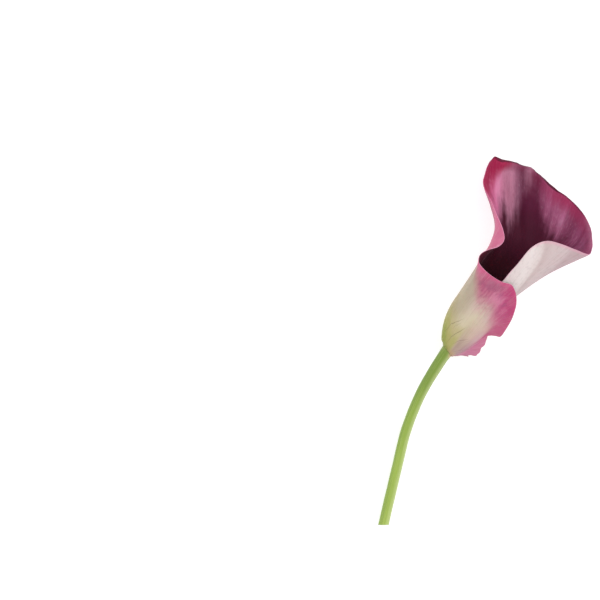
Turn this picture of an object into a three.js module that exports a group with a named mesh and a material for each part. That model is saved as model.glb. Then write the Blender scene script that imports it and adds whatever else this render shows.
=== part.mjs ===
// A cut calla lily flower, lying on its back: stem, spathe and spadix.
// Millimetres, +Z up. The origin is the middle of the underside of the box round the whole flower.
//
// The bloom is described in its own directions: "along" runs up its axis from its base, "across"
// runs to its right as seen from above, and height is measured from the surface that it lies on.
import * as THREE from 'three';

const DEG = Math.PI / 180;

// Where the bloom's base lies, and how far its axis leans from +Y towards +X
const BLOOM_BASE = { x: -21.1, y: -5.6 };
const BLOOM_LEAN = 32 * DEG;

// The bloom's axis: height at its base, and rise for each millimetre along
const AXIS_HEIGHT = 12.3;
const AXIS_RISE = 0.098;

// The spathe is one sheet, wound round the axis. Azimuths are in degrees: 0 under the axis, 90 at its
// left, 180 above it and 270 or -90 at its right.
const MIDRIB = 35;
const WINDING = 1.7; // from one layer to the next, over a full turn
const WINDING_AT_BASE = 1.5;
const WINDING_REACH = 15; // along, where the layers have spread to WINDING
const THICKNESS = [[0, 0.75], [0.06, 0.75], [0.2, 0.95], [0.8, 0.95], [1, 0.7]]; // over 0 base to 1 margin

// The channel under the middle of the limb
const CHANNEL = { depth: 3.4, azimuth: 5, width: 19, from: 60, fade: 35 };

// The slanted edge of the sheet at its base, which starts higher where it is the inner layer
const BASE_EDGE = { along: -1, slant: 1.5, tuck: 4.5, from: -60, to: -180 };

// The ruffle in the outer flap's edge near the base: how far it stands out as a share of the hoop, how
// many waves it has, and the azimuths at the base where it starts and ends
const RUFFLE = { depth: 0.11, waves: 4, from: 262.5, to: 300 };

// The rolled rim: radius of the roll, the most that it turns, and the shortest stretch that is rolled
const ROLL_RADIUS = 1.9;
const ROLL_TURN = 2.6;
const ROLL_SHORTEST = 0.3;

// Hoops that the sheet follows: how far they reach to the left, right, under and above the axis, how far
// their middle lies across, and how square their underside is (2 is round)
const HOOPS = [
  // along, left, right, under, above, middle, squareness
  [-4, 4.3, 4.3, 4.3, 4.3, 0, 2],
  [0, 5.2, 5.2, 5.0, 5.0, 0, 2],
  [5, 8.0, 7.8, 7.6, 7.6, 0, 2],
  [14, 11.6, 11.3, 10.8, 11.4, 0.1, 2],
  [22, 13.0, 12.9, 12.4, 13.2, 0.3, 2],
  [32, 13.3, 13.8, 13.4, 14.2, 0.8, 2],
  [43, 13.6, 14.5, 14.2, 14.8, 1.5, 2],
  [54, 14.6, 17.0, 15.6, 15.4, 2.6, 2.1],
  [66, 16.4, 20.5, 18.0, 16.2, 4.2, 2.2],
  [75, 19.6, 25.0, 20.4, 17.0, 4.8, 2.3],
  [84, 27.5, 30.6, 24.0, 17.6, 4.8, 2.4],
  [92, 36.0, 36.0, 26.9, 18.0, 4.2, 2.5],
  [100, 39.2, 38.3, 29.0, 18.4, 3.2, 2.6],
  [116, 38.0, 38.5, 31.0, 19.0, 1.0, 2.7],
];

// The spathe's margin, from the hidden inner corner at the base, up the right wing, round the limb, down
// the waist and over the front, to the outer flap's corner. Each ray of the sheet leaves the base at its
// azimuth and ends at its point of the margin. A ray without across and height stays on the hoops. The
// higher its sharpness, the nearer to the margin it bends away from them.
const MARGIN = [
  // azimuth, along, across, height, sharpness, rolled length, extra tip
  // hidden edge of the inner layer
  [-235, 6.5, null, null, 3, 0, 0],
  [-222, 13, null, null, 3, 0, 0],
  [-210, 22, null, null, 3, 0, 0],
  [-198, 31, null, null, 3, 0, 0],
  [-185, 41, null, null, 3, 0, 0],
  // edge of the right wing
  [-171, 49.4, 4.7, 31.1, 3, 0, 0],
  [-161, 61.6, 6.7, 32.6, 3, 0, 0],
  [-150, 74.3, 8.4, 33.9, 3, 0, 0],
  [-138, 82.8, 14, 33.3, 3, 0, 0],
  [-124, 85.9, 22.3, 29.3, 3, 0, 0],
  [-109, 87.6, 30.5, 23.8, 3, 0, 0],
  [-96, 89.5, 38.9, 17.3, 3, 0, 0],
  // rim of the limb, from its right corner to its left one, with the rolled stretch and the tip
  [-85, 93.2, 39.3, 13.8, 3, 0, 0],
  [-73, 99, 36.4, 9.8, 3, 0, 0],
  [-58, 104, 32, 4.8, 3, 0, 0],
  [-40, 109.4, 22.5, 1.5, 3, 0, 0],
  [-22, 111.5, 11.5, 1.5, 3, 0, 0],
  [-6, 112.6, 1, 2.5, 3, 1, 0],
  [7, 115.6, -8, 6.4, 3, 4, 0],
  [14, 116.6, -12.8, 7.9, 3, 4.5, 1],
  [19, 117, -16, 8.9, 3, 4.6, 4.4],
  [24, 116.8, -19.2, 7.6, 3, 4.6, 1],
  [31, 115.6, -24.6, 5.2, 3, 4.6, 0],
  [38, 113.3, -29.4, 3.2, 3, 4, 0],
  [43, 111.2, -33, 5, 3, 2.6, 0],
  [48, 109.3, -36.5, 8, 3, 1, 0],
  // left lobe and waist
  [53, 106.4, -37.4, 10.5, 3, 0, 0],
  [59, 101.3, -37.4, 14.3, 3, 0, 0],
  [67, 94.5, -35.4, 18.3, 3, 0, 0],
  [73, 90, -32.2, 21.8, 3, 0, 0],
  [79, 85.7, -25.5, 25.8, 3, 0, 0],
  [86, 79.9, -17.8, 30.1, 4, 0, 0],
  [92, 75.2, -11.3, 32.9, 5, 0, 0],
  [98, 70.5, -7.5, 34.3, 6, 0, 0],
  [104, 66, -8.1, 33.8, 8, 0, 0],
  [111, 61.2, -12, 32.3, 9, 0, 0],
  // small lip, and the front rim of the outer flap
  [118, 57, -14.2, 29.9, 9, 0, 0],
  [124.5, 53.6, -14, 29.1, 7, 0, 0],
  [132, 51.2, -12, 29.9, 5, 0, 0],
  [143, 49.5, -6.4, 31.3, 3, 0, 0],
  [160, 48.9, -0.4, 32.8, 3, 0, 0],
  [181, 49.2, 4.8, 33.3, 3, 0, 0],
  [199, 50.4, 9.5, 32.8, 3, 0, 0],
  // lifted lobe of the flap, its notch, and the ruffled edge down to the base
  [213, 49.6, 13.8, 30.8, 3, 0, 0],
  [224, 46, 17, 28.8, 3, 0, 0],
  [232, 41, 19.3, 26.8, 3, 0, 0],
  [240, 34.9, 20.9, 24.3, 3, 0, 0],
  [247, 27.5, 21.3, 21.5, 3, 0, 0],
  [253, 21.4, 20.8, 19.1, 3, 0, 0],
  [259, 21.6, 17.4, 15.6, 3, 0, 0],
  [262.5, 19.6, 15.2, 14.9, 3, 0, 0],
  [266, 15.8, 15.6, 14.1, 3, 0, 0],
  [270, 10.1, 16.2, 13.3, 3, 0, 0],
  [275, 5.2, 14.2, 11.7, 3, 0, 0],
  [282, 2.8, 10.9, 10.3, 3, 0, 0],
  [290, 2, 8.2, 9.1, 3, 0, 0],
  [300, 1.6, null, null, 3, 0, 0],
];

// How finely the sheet is faceted: rows from base to margin, drawn together towards the margin, and
// columns for each stretch between two points of the margin
const SHEET_ROWS = 20;
const ROW_GRADING = 1.6;
const COLUMNS_PER_STRETCH = 2;

// The stem's centre line and radius, from its cut end to its top inside the spathe's base
const STEM = [
  // along, across, height, radius
  [-105.9, 21.3, 2.8, 2.85],
  [-95.5, 17.6, 2.8, 2.85],
  [-73.9, 10.4, 3.4, 2.9],
  [-52.2, 3.2, 5.2, 2.9],
  [-29, -1.6, 8.4, 2.95],
  [-11.7, -1.7, 11.0, 3.05],
  [-2.4, -0.6, 12.05, 3.2],
  [2.4, 0, 12.5, 3.5],
];
const STEM_SIDES = 16;
const STEM_STEPS = 40;
const STEM_SIGHT = 0.5; // along, to either side, over which the centre line's direction is taken

// The spadix: radius over the way along, the number of florets round it, and how far they stand out
const SPADIX = [
  // along, radius
  [2.9, 2.6],
  [5, 3.3],
  [10, 3.5],
  [15, 3.2],
  [18, 2.75],
  [32, 2.8],
  [39, 2.3],
  [42, 1.5],
  [43.2, 0.5],
];
const FLORETS_ROUND = 11;
const SPADIX_ROWS = 38;
const FLORET_HEIGHT = 0.35;

const FINISH = {
  stem: { color: 0x8fae4a, roughness: 0.5, metalness: 0 },
  spathe: { color: 0x8e3560, roughness: 0.55, metalness: 0 },
  spadix: { color: 0xe3a92c, roughness: 0.8, metalness: 0 },
};

// Smooth curve through the keys of one column of a table, at x in its first column
function curve(table, column, x) {
  const last = table.length - 1;
  const at = Math.min(Math.max(x, table[0][0]), table[last][0]);
  let k = 0;
  while (k < last - 1 && table[k + 1][0] <= at) k += 1;
  const step = (i) => table[i + 1][0] - table[i][0];
  const slope = (i) => (table[i + 1][column] - table[i][column]) / step(i);
  const tangent = (i) => {
    if (i === 0) return slope(0);
    if (i === last) return slope(last - 1);
    return (slope(i - 1) * step(i) + slope(i) * step(i - 1)) / (step(i - 1) + step(i));
  };
  const width = step(k);
  const t = (at - table[k][0]) / width;
  const t2 = t * t;
  const t3 = t2 * t;
  return (2 * t3 - 3 * t2 + 1) * table[k][column]
    + (t3 - 2 * t2 + t) * width * tangent(k)
    + (3 * t2 - 2 * t3) * table[k + 1][column]
    + (t3 - t2) * width * tangent(k + 1);
}

// Straight lines through pairs of x and value
function polyline(pairs, x) {
  let k = 0;
  while (k < pairs.length - 2 && pairs[k + 1][0] <= x) k += 1;
  const [x0, y0] = pairs[k];
  const [x1, y1] = pairs[k + 1];
  return y0 + (y1 - y0) * THREE.MathUtils.clamp((x - x0) / (x1 - x0), 0, 1);
}

const axisHeight = (along) => AXIS_HEIGHT + AXIS_RISE * along;

// From the bloom's directions to x, y, z
function place(along, across, height) {
  return new THREE.Vector3(
    BLOOM_BASE.x + along * Math.sin(BLOOM_LEAN) + across * Math.cos(BLOOM_LEAN),
    BLOOM_BASE.y + along * Math.cos(BLOOM_LEAN) - across * Math.sin(BLOOM_LEAN),
    height,
  );
}

// The hoop's reach at a place along, for the layer at this azimuth
function hoopAt(azimuth, along) {
  const spread = THREE.MathUtils.clamp(along / WINDING_REACH, 0, 1);
  const winding = WINDING_AT_BASE + (WINDING - WINDING_AT_BASE) * spread;
  const layer = winding * (azimuth - MIDRIB) / 360;
  const keys = [1, 2, 3, 4, 5, 6].map((column) => curve(HOOPS, column, along));
  const [left, right, under, above, middle, squareness] = keys;
  const fade = THREE.MathUtils.clamp((along - CHANNEL.from) / CHANNEL.fade, 0, 1);
  const channel = CHANNEL.depth * fade * Math.exp(-(((azimuth - CHANNEL.azimuth) / CHANNEL.width) ** 2));
  return {
    left: left + layer,
    right: right + layer,
    under: under - channel + layer,
    above: above + layer,
    middle,
    squareness,
  };
}

// Point at an azimuth, at this scale of the hoop
function onHoop(azimuth, along, scale) {
  const hoop = hoopAt(azimuth, along);
  let s = Math.sin(azimuth * DEG);
  let c = Math.cos(azimuth * DEG);
  const below = c > 0;
  if (below) {
    s = Math.sign(s) * Math.abs(s) ** (2 / hoop.squareness);
    c = c ** (2 / hoop.squareness);
  }
  return {
    across: hoop.middle - s * scale * (s > 0 ? hoop.left : hoop.right),
    height: axisHeight(along) - c * scale * (below ? hoop.under : hoop.above),
  };
}

// The azimuth near a given one, and the scale of the hoop, at which a point lies. The hoop depends on the
// azimuth, so it is found in rounds.
const POLAR_ROUNDS = 4;
function polar(along, across, height, near) {
  let azimuth = near;
  let scale = 1;
  for (let round = 0; round < POLAR_ROUNDS; round += 1) {
    const hoop = hoopAt(azimuth, along);
    const side = (hoop.middle - across) / (across < hoop.middle ? hoop.left : hoop.right);
    const down = axisHeight(along) - height;
    const depth = down / (down > 0 ? hoop.under : hoop.above);
    const power = depth > 0 ? hoop.squareness : 2;
    const s = Math.sign(side) * Math.abs(side) ** (power / 2);
    const c = Math.sign(depth) * Math.abs(depth) ** (power / 2);
    scale = Math.hypot(s, c) ** (2 / power);
    azimuth = Math.atan2(s, c) / DEG;
    azimuth += 360 * Math.round((near - azimuth) / 360);
  }
  return { azimuth, scale };
}

// The margin as a table over its points: azimuth at the base, along, azimuth and scale at the margin,
// sharpness, rolled length and extra tip
const RAYS = MARGIN.map(([azimuth, along, across, height, sharpness, rolled, tip], index) => {
  const end = across === null ? { azimuth, scale: 1 } : polar(along, across, height, azimuth);
  return [index, azimuth, along, end.azimuth, end.scale, sharpness, rolled, tip];
});

function baseEdge(azimuth) {
  const tuck = THREE.MathUtils.smoothstep(-azimuth, -BASE_EDGE.from, -BASE_EDGE.to);
  return BASE_EDGE.along + BASE_EDGE.slant * Math.sin(azimuth * DEG) + BASE_EDGE.tuck * tuck;
}

function ruffle(azimuth) {
  const share = THREE.MathUtils.clamp((azimuth - RUFFLE.from) / (RUFFLE.to - RUFFLE.from), 0, 1);
  return RUFFLE.depth * Math.sin(Math.PI * share) * Math.sin(2 * Math.PI * RUFFLE.waves * share);
}

// One ray of the sheet's outer face, from base to margin, before the rim is rolled
function ray(station) {
  const keys = [1, 2, 3, 4, 5].map((column) => curve(RAYS, column, station));
  const [azimuth, along, endAzimuth, endScale, sharpness] = keys;
  const start = baseEdge(azimuth);
  const widening = endScale - 1 + ruffle(azimuth);
  const points = [];
  for (let row = 0; row <= SHEET_ROWS; row += 1) {
    const u = 1 - (1 - row / SHEET_ROWS) ** ROW_GRADING;
    const bend = u ** sharpness;
    const here = start + (along - start) * u;
    const point = onHoop(azimuth + (endAzimuth - azimuth) * bend, here, 1 + widening * bend);
    points.push(place(here, point.across, point.height));
  }
  return points;
}

// Normals of a grid of columns and rows, pointing out of the tube
function gridNormals(grid) {
  const between = (a, b, list) => list[Math.min(b, list.length - 1)].clone().sub(list[Math.max(a, 0)]);
  return grid.map((column, j) => column.map((_, i) => {
    const up = between(i - 1, i + 1, column);
    const round = between(j - 1, j + 1, grid.map((other) => other[i]));
    return round.cross(up).normalize();
  }));
}

// Rolls the last stretch of one ray backwards, towards the outer face
function rollRim(points, normals, rolled, tip) {
  if (rolled < ROLL_SHORTEST) return points;
  const way = [0];
  for (let i = 1; i < points.length; i += 1) way.push(way[i - 1] + points[i].distanceTo(points[i - 1]));
  const start = way[way.length - 1] - rolled;
  const first = way.findIndex((w) => w >= start);
  const share = (start - way[first - 1]) / (way[first] - way[first - 1]);
  const from = points[first - 1].clone().lerp(points[first], share);
  const ahead = points[first].clone().sub(points[first - 1]).normalize();
  const out = normals[first].clone().addScaledVector(ahead, -normals[first].dot(ahead)).normalize();
  const stretch = 1 + Math.max(0, tip) / rolled;
  return points.map((point, i) => {
    if (i < first) return point;
    const length = (way[i] - start) * stretch;
    const turn = Math.min(length / ROLL_RADIUS, ROLL_TURN);
    const straight = length - turn * ROLL_RADIUS;
    return from.clone()
      .addScaledVector(ahead, ROLL_RADIUS * Math.sin(turn) + straight * Math.cos(turn))
      .addScaledVector(out, ROLL_RADIUS * (1 - Math.cos(turn)) + straight * Math.sin(turn));
  });
}

// A closed sheet between an outer and an inner grid, with the same diagonals on both
function sheetBetween(outer, inner) {
  const rows = outer[0].length;
  const columns = outer.length;
  const positions = [...outer, ...inner].flat().flatMap((p) => [p.x, p.y, p.z]);
  const o = (i, j) => j * rows + i;
  const n = (i, j) => (columns + j) * rows + i;
  const index = [];
  const quad = (a, b, c, d) => index.push(a, b, c, a, c, d);
  for (let i = 0; i < rows - 1; i += 1) {
    for (let j = 0; j < columns - 1; j += 1) {
      quad(o(i, j), o(i, j + 1), o(i + 1, j + 1), o(i + 1, j));
      index.push(n(i, j), n(i + 1, j + 1), n(i, j + 1), n(i, j), n(i + 1, j), n(i + 1, j + 1));
    }
  }
  const top = rows - 1;
  const end = columns - 1;
  for (let i = 0; i < top; i += 1) {
    quad(o(i, 0), o(i + 1, 0), n(i + 1, 0), n(i, 0));
    quad(o(i, end), n(i, end), n(i + 1, end), o(i + 1, end));
  }
  for (let j = 0; j < end; j += 1) {
    quad(o(0, j), n(0, j), n(0, j + 1), o(0, j + 1));
    quad(o(top, j), o(top, j + 1), n(top, j + 1), n(top, j));
  }
  return solid(positions, index);
}

function solid(positions, index) {
  const geometry = new THREE.BufferGeometry();
  geometry.setAttribute('position', new THREE.Float32BufferAttribute(positions, 3));
  geometry.setIndex(index);
  geometry.computeVertexNormals();
  return geometry;
}

function namedMesh(name, geometry) {
  const mesh = new THREE.Mesh(geometry, new THREE.MeshStandardMaterial(FINISH[name]));
  mesh.name = name;
  return mesh;
}

// The spathe. Where it would reach below the surface it is pressed flat on it.
function spathe() {
  const columns = (RAYS.length - 1) * COLUMNS_PER_STRETCH + 1;
  const stations = Array.from({ length: columns }, (_, j) => j / COLUMNS_PER_STRETCH);
  const open = stations.map(ray);
  const openNormals = gridNormals(open);
  const outer = open.map((points, j) => {
    const rolled = curve(RAYS, 6, stations[j]);
    return rollRim(points, openNormals[j], rolled, curve(RAYS, 7, stations[j]));
  });
  const normals = gridNormals(outer);
  const inner = outer.map((points, j) => points.map((point, i) => {
    const u = 1 - (1 - i / SHEET_ROWS) ** ROW_GRADING;
    return point.clone().addScaledVector(normals[j][i], -polyline(THICKNESS, u));
  }));
  for (const point of [...outer, ...inner].flat()) point.z = Math.max(point.z, 0);
  return namedMesh('spathe', sheetBetween(outer, inner));
}

// A closed body of rings, each a list of as many points, with flat ends
function ringedBody(rings) {
  const sides = rings[0].length;
  const positions = rings.flat().flatMap((p) => [p.x, p.y, p.z]);
  const index = [];
  for (let k = 0; k < rings.length - 1; k += 1) {
    for (let i = 0; i < sides; i += 1) {
      const a = k * sides + i;
      const b = k * sides + (i + 1) % sides;
      index.push(a, b + sides, b, a, a + sides, b + sides);
    }
  }
  const last = (rings.length - 1) * sides;
  for (let i = 1; i < sides - 1; i += 1) {
    index.push(0, i, i + 1);
    index.push(last, last + i + 1, last + i);
  }
  return solid(positions, index);
}

// A ring of points round a place on a centre line, with one flat side turned down
function ringRound(centre, ahead, sides, radiusAt) {
  const right = ahead.clone().cross(new THREE.Vector3(0, 0, 1)).normalize();
  const up = right.clone().cross(ahead).normalize();
  return Array.from({ length: sides }, (_, i) => {
    const angle = (i + 0.5) / sides * 2 * Math.PI - Math.PI / 2;
    const radius = radiusAt(i);
    return centre.clone()
      .addScaledVector(right, radius * Math.cos(angle))
      .addScaledVector(up, radius * Math.sin(angle));
  });
}

// The stem, cut slantwise in a plane of equal y and pressed flat where it lies
function stem() {
  const from = STEM[0][0];
  const to = STEM[STEM.length - 1][0];
  const centreAt = (along) => place(along, curve(STEM, 1, along), curve(STEM, 2, along));
  const rings = [];
  for (let k = 0; k <= STEM_STEPS; k += 1) {
    const along = from + (to - from) * k / STEM_STEPS;
    const centre = centreAt(along);
    const ahead = centreAt(along + STEM_SIGHT).sub(centreAt(along - STEM_SIGHT)).normalize();
    const ring = ringRound(centre, ahead, STEM_SIDES, () => curve(STEM, 3, along));
    if (k === 0) {
      for (const point of ring) point.addScaledVector(ahead, (centre.y - point.y) / ahead.y);
    }
    for (const point of ring) point.z = Math.max(point.z, 0);
    rings.push(ring);
  }
  return namedMesh('stem', ringedBody(rings));
}

// The spadix on the bloom's axis. Its florets are every other point of every row, raised.
function spadix() {
  const from = SPADIX[0][0];
  const to = SPADIX[SPADIX.length - 1][0];
  const centreAt = (along) => place(along, curve(HOOPS, 5, along), axisHeight(along));
  const ahead = centreAt(to).sub(centreAt(from)).normalize();
  const rings = [];
  for (let k = 0; k <= SPADIX_ROWS; k += 1) {
    const along = from + (to - from) * k / SPADIX_ROWS;
    const radius = curve(SPADIX, 1, along);
    const covered = k > 0 && k < SPADIX_ROWS;
    const floret = (i) => (covered && (i + k) % 2 === 0 ? FLORET_HEIGHT : 0);
    rings.push(ringRound(centreAt(along), ahead, 2 * FLORETS_ROUND, (i) => radius + floret(i)));
  }
  return namedMesh('spadix', ringedBody(rings));
}

const flower = new THREE.Group();
flower.add(stem(), spathe(), spadix());

export default flower;
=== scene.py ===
"""A cut calla lily flower, lying on its back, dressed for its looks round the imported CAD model.

Metres in Blender. The shapes are worked out in millimetres in the bloom's own directions, as in the CAD:
"along" runs up the bloom's axis from its base, "across" to its right as seen from above, and height is
measured from the surface that it lies on.
"""

import math

import bpy
import numpy as np
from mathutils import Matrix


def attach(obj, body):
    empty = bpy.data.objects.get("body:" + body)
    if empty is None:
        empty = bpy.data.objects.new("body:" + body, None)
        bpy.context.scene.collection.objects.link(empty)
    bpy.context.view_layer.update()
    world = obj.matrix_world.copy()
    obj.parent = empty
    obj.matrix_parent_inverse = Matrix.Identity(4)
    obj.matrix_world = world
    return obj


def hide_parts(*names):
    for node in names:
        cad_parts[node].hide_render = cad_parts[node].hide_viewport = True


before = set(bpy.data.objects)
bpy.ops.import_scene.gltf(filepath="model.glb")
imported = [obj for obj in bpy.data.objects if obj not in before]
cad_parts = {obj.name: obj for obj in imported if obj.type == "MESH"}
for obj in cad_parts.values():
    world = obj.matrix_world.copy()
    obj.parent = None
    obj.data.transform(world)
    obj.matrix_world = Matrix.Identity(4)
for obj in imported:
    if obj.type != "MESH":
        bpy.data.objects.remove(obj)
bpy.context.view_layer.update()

MM = 0.001

# The bloom's form, as in the CAD source: mm and degrees
BLOOM_BASE = (-21.1, -5.6)
BLOOM_LEAN = math.radians(32)
AXIS_HEIGHT = 12.3
AXIS_RISE = 0.098
MIDRIB = 35
WINDING = 1.7
WINDING_AT_BASE = 1.5
WINDING_REACH = 15
CHANNEL = {"depth": 3.4, "azimuth": 5, "width": 19, "from": 60, "fade": 35}
BASE_EDGE = {"along": -1, "slant": 1.5, "tuck": 4.5, "from": -60, "to": -180}
RUFFLE = {"depth": 0.11, "waves": 4, "from": 262.5, "to": 300, "fine": 0.045, "fine_waves": 9.5}
ROLL_RADIUS = 1.9
ROLL_TURN = 2.6
ROLL_SHORTEST = 0.3
POLAR_ROUNDS = 4

# The hoops that the sheet lies on: along, left, right, under, above, middle, squareness
HOOPS = np.array([
    (-4, 4.3, 4.3, 4.3, 4.3, 0, 2), (0, 5.2, 5.2, 5, 5, 0, 2), (5, 8, 7.8, 7.6, 7.6, 0, 2),
    (14, 11.6, 11.3, 10.8, 11.4, 0.1, 2), (22, 13, 12.9, 12.4, 13.2, 0.3, 2),
    (32, 13.3, 13.8, 13.4, 14.2, 0.8, 2), (43, 13.6, 14.5, 14.2, 14.8, 1.5, 2),
    (54, 14.6, 17, 15.6, 15.4, 2.6, 2.1), (66, 16.4, 20.5, 18, 16.2, 4.2, 2.2),
    (75, 19.6, 25, 20.4, 17, 4.8, 2.3), (84, 27.5, 30.6, 24, 17.6, 4.8, 2.4),
    (92, 36, 36, 26.9, 18, 4.2, 2.5), (100, 39.2, 38.3, 29, 18.4, 3.2, 2.6),
    (116, 38, 38.5, 31, 19, 1, 2.7),
])

# The margin: azimuth, along, across, height, sharpness, rolled length, extra tip
ON = None  # a place that stays on the hoops
MARGIN = [
    (-235, 6.5, ON, ON), (-222, 13, ON, ON), (-210, 22, ON, ON), (-198, 31, ON, ON), (-185, 41, ON, ON),
    (-171, 49.4, 4.7, 31.1), (-161, 61.6, 6.7, 32.6), (-150, 74.3, 8.4, 33.9), (-138, 82.8, 14, 33.3),
    (-124, 85.9, 22.3, 29.3), (-109, 87.6, 30.5, 23.8), (-96, 89.5, 38.9, 17.3), (-85, 93.2, 39.3, 13.8),
    (-73, 99, 36.4, 9.8), (-58, 104, 32, 4.8), (-40, 109.4, 22.5, 1.5), (-22, 111.9, 11, 1.5),
    (-6, 112.2, 1.4, 2.5, 3, 1, 0), (7, 115.6, -8, 6.4, 3, 4, 0), (14, 116.3, -12.8, 7.9, 3, 4.5, 1),
    (19, 116.2, -16, 8.6, 3, 4.6, 4), (24, 115.7, -19.2, 7.2, 3, 4.6, 1),
    (31, 114.7, -24.6, 5, 3, 4.6, 0), (38, 112.2, -29.4, 3.2, 3, 4, 0), (43, 110.2, -33, 5, 3, 2.4, 0),
    (48, 109.2, -36.8, 8, 3, 0.7, 0), (53, 106.4, -37.4, 10.5), (59, 101.3, -37.4, 14.3),
    (67, 94.5, -35.4, 18.3), (73, 90, -32.2, 21.8), (79, 85.7, -25.5, 25.8),
    (86, 79.9, -17.8, 30.1, 4, 0, 0), (92, 75.2, -11.3, 32.9, 5, 0, 0), (98, 70.5, -7.5, 34.3, 6, 0, 0),
    (104, 66, -8.1, 33.8, 8, 0, 0), (111, 61.2, -12, 32.3, 9, 0, 0), (118, 57, -14.2, 29.9, 9, 0, 0),
    (124.5, 53.6, -14, 29.1, 7, 0, 0), (132, 51.2, -12, 29.9, 5, 0, 0), (143, 49.5, -6.4, 31.3),
    (160, 48.9, -0.4, 32.8), (181, 49.2, 4.8, 33.3), (199, 50.6, 10, 32.6), (213, 48.7, 13.9, 30.8),
    (224, 45.3, 17.1, 28.8), (232, 41, 19.3, 26.8), (240, 34.9, 20.9, 24.3, 4, 0, 0),
    (247, 27.5, 21.3, 21.5, 7, 0, 0), (251, 21.9, 20.7, 19.3, 10, 0, 0), (256, 22.4, 17.4, 17, 10, 0, 0),
    (260, 20.6, 14.8, 15.6, 8, 0, 0), (265, 16, 15, 14.4, 5, 0, 0), (270, 10.1, 16, 13.3),
    (275, 5.2, 14, 11.7), (282, 2.8, 10.9, 10.3), (290, 2, 8.2, 9.1), (300, 1.6, ON, ON),
]
MARGIN_PLAIN = (3, 0, 0)  # the last three where a row leaves them out


def curve(table, column, x):
    """The CAD's smooth curve through a column of a table, at places of its first column."""
    xs, ys = table[:, 0], table[:, column]
    x = np.clip(np.asarray(x, float), xs[0], xs[-1])
    step = np.diff(xs)
    slope = np.diff(ys) / step
    tangent = np.empty_like(ys)
    tangent[0] = slope[0]
    tangent[-1] = slope[-1]
    tangent[1:-1] = (slope[:-1] * step[1:] + slope[1:] * step[:-1]) / (step[:-1] + step[1:])
    k = np.clip(np.searchsorted(xs, x, side="right") - 1, 0, len(xs) - 2)
    w = step[k]
    t = (x - xs[k]) / w
    t2 = t * t
    t3 = t2 * t
    return ((2 * t3 - 3 * t2 + 1) * ys[k] + (t3 - 2 * t2 + t) * w * tangent[k]
            + (3 * t2 - 2 * t3) * ys[k + 1] + (t3 - t2) * w * tangent[k + 1])


def curves(table, x):
    """All the columns of a table but its first."""
    return [curve(table, column, x) for column in range(1, table.shape[1])]


def smoothstep(x):
    x = np.clip(x, 0, 1)
    return x * x * (3 - 2 * x)


def rise(value, start, full):
    """0 before the start, 1 from where it is full. The start may be the larger one."""
    return smoothstep((value - start) / (full - start))


def unit(vectors):
    return vectors / np.linalg.norm(vectors, axis=-1, keepdims=True)


def place(along, across, height):
    """From the bloom's directions to x, y, z, in mm."""
    s, c = math.sin(BLOOM_LEAN), math.cos(BLOOM_LEAN)
    x = BLOOM_BASE[0] + along * s + across * c
    y = BLOOM_BASE[1] + along * c - across * s
    return np.stack([x, y, height + 0 * along], -1)


def hoop_at(azimuth, along):
    """The hoop's sizes, middle and squareness, with the layers of the winding."""
    winding = WINDING_AT_BASE + (WINDING - WINDING_AT_BASE) * np.clip(along / WINDING_REACH, 0, 1)
    layer = winding * (azimuth - MIDRIB) / 360
    left, right, under, above, middle, square = curves(HOOPS, along)
    fade = np.clip((along - CHANNEL["from"]) / CHANNEL["fade"], 0, 1)
    channel = CHANNEL["depth"] * fade * np.exp(-((azimuth - CHANNEL["azimuth"]) / CHANNEL["width"]) ** 2)
    return left + layer, right + layer, under - channel + layer, above + layer, middle, square


def on_hoop(azimuth, along, scale):
    """Across and height of a point on a hoop that is made larger or smaller."""
    left, right, under, above, middle, square = hoop_at(azimuth, along)
    s = np.sin(np.radians(azimuth))
    c = np.cos(np.radians(azimuth))
    below = c > 0
    side = np.where(below, np.sign(s) * np.abs(s) ** (2 / square), s)
    down = np.where(below, np.abs(c) ** (2 / square), c)
    across = middle - side * scale * np.where(s > 0, left, right)
    height = AXIS_HEIGHT + AXIS_RISE * along - down * scale * np.where(below, under, above)
    return across, height


def polar(along, across, height, near):
    """The azimuth near a given one, and the scale of the hoop, at which a point lies."""
    azimuth, scale = near, 1
    for _ in range(POLAR_ROUNDS):
        left, right, under, above, middle, square = [float(v) for v in hoop_at(azimuth, along)]
        side = (middle - across) / (left if across < middle else right)
        down = AXIS_HEIGHT + AXIS_RISE * along - height
        depth = down / (under if down > 0 else above)
        power = square if depth > 0 else 2
        s = math.copysign(abs(side) ** (power / 2), side)
        c = math.copysign(abs(depth) ** (power / 2), depth)
        scale = math.hypot(s, c) ** (2 / power)
        azimuth = math.degrees(math.atan2(s, c))
        azimuth += 360 * round((near - azimuth) / 360)
    return azimuth, scale


def margin_rays():
    """The margin's rows, numbered, with each place as an azimuth and a scale of its hoop."""
    rows = []
    for number, row in enumerate(MARGIN):
        azimuth, along, across, height, sharp, rolled, tip = row + MARGIN_PLAIN[len(row) - 4:]
        end, scale = (azimuth, 1) if across is ON else polar(along, across, height, azimuth)
        rows.append((number, azimuth, along, end, scale, sharp, rolled, tip))
    return np.array(rows, float)


RAYS = margin_rays()


def base_edge(azimuth):
    """How far along the sheet starts."""
    tuck = rise(azimuth, BASE_EDGE["from"], BASE_EDGE["to"])
    slant = BASE_EDGE["slant"] * np.sin(np.radians(azimuth))
    return BASE_EDGE["along"] + slant + BASE_EDGE["tuck"] * tuck


def ruffle(azimuth):
    """How much the frilled lower edge swings out and in, as a share of its hoop."""
    share = np.clip((azimuth - RUFFLE["from"]) / (RUFFLE["to"] - RUFFLE["from"]), 0, 1)
    wide = RUFFLE["depth"] * np.sin(2 * np.pi * RUFFLE["waves"] * share)
    frill = RUFFLE["fine"] * np.sin(2 * np.pi * RUFFLE["fine_waves"] * share)
    return np.sin(np.pi * share) * (wide + frill)


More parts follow.
